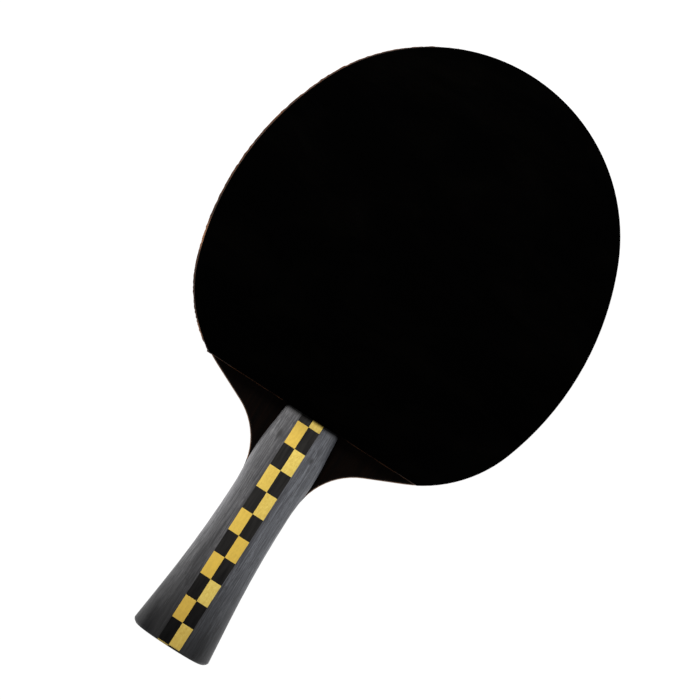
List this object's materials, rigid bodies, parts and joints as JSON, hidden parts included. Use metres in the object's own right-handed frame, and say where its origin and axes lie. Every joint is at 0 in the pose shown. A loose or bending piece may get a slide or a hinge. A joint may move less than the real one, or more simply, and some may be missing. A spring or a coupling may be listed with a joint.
{
  "type": "table tennis paddle",
  "caption": "Shakehand table tennis paddle with a flared grey wood handle, a black and yellow checkerboard inlay and black and red rubbers.",
  "frame": {"origin": "middle of the paddle's length, on the handle's centre line, mid-way through the blade's thickness", "axes": "+X to the right seen from the black side, +Y along the handle to the tip of the head, +Z out of the black rubber"},
  "size_m": [0.154, 0.258, 0.025],
  "materials": {
    "black_topsheet": "smooth, slightly tacky",
    "red_topsheet": "smooth, slightly tacky",
    "orange_sponge": "matt, fine open cells",
    "dark_face_veneer": "dark stain under satin lacquer",
    "inner_veneer": "bare sanded edge, brown",
    "core_wood": "bare sanded edge, light",
    "grey_grip_wood": "grey stain, lengthwise grain, satin",
    "black_inlay_wood": "dyed black, satin",
    "yellow_inlay_wood": "dyed yellow, satin"
  },
  "bodies": {
    "root": {"back_black_tile_01": "black_inlay_wood", "back_black_tile_02": "black_inlay_wood", "back_black_tile_03": "black_inlay_wood", "back_black_tile_04": "black_inlay_wood", "back_black_tile_05": "black_inlay_wood", "back_black_tile_06": "black_inlay_wood", "back_black_tile_07": "black_inlay_wood", "back_black_tile_08": "black_inlay_wood", "back_black_tile_09": "black_inlay_wood", "back_black_tile_10": "black_inlay_wood", "back_black_tile_11": "black_inlay_wood", "back_face_ply": "dark_face_veneer", "back_inner_ply": "inner_veneer", "back_left_grip_side": "grey_grip_wood", "back_right_grip_side": "grey_grip_wood", "back_sponge": "orange_sponge", "back_topsheet": "red_topsheet", "back_yellow_tile_01": "yellow_inlay_wood", "back_yellow_tile_02": "yellow_inlay_wood", "back_yellow_tile_03": "yellow_inlay_wood", "back_yellow_tile_04": "yellow_inlay_wood", "back_yellow_tile_05": "yellow_inlay_wood", "back_yellow_tile_06": "yellow_inlay_wood", "back_yellow_tile_07": "yellow_inlay_wood", "back_yellow_tile_08": "yellow_inlay_wood", "back_yellow_tile_09": "yellow_inlay_wood", "back_yellow_tile_10": "yellow_inlay_wood", "back_yellow_tile_11": "yellow_inlay_wood", "black_end_slips": "black_inlay_wood", "core_ply": "core_wood", "front_black_tile_01": "black_inlay_wood", "front_black_tile_02": "black_inlay_wood", "front_black_tile_03": "black_inlay_wood", "front_black_tile_04": "black_inlay_wood", "front_black_tile_05": "black_inlay_wood", "front_black_tile_06": "black_inlay_wood", "front_black_tile_07": "black_inlay_wood", "front_black_tile_08": "black_inlay_wood", "front_black_tile_09": "black_inlay_wood", "front_black_tile_10": "black_inlay_wood", "front_black_tile_11": "black_inlay_wood", "front_face_ply": "dark_face_veneer", "front_inner_ply": "inner_veneer", "front_left_grip_side": "grey_grip_wood", "front_right_grip_side": "grey_grip_wood", "front_sponge": "orange_sponge", "front_topsheet": "black_topsheet", "front_yellow_tile_01": "yellow_inlay_wood", "front_yellow_tile_02": "yellow_inlay_wood", "front_yellow_tile_03": "yellow_inlay_wood", "front_yellow_tile_04": "yellow_inlay_wood", "front_yellow_tile_05": "yellow_inlay_wood", "front_yellow_tile_06": "yellow_inlay_wood", "front_yellow_tile_07": "yellow_inlay_wood", "front_yellow_tile_08": "yellow_inlay_wood", "front_yellow_tile_09": "yellow_inlay_wood", "front_yellow_tile_10": "yellow_inlay_wood", "front_yellow_tile_11": "yellow_inlay_wood", "yellow_end_slips": "yellow_inlay_wood"}
  },
  "joints": []
}
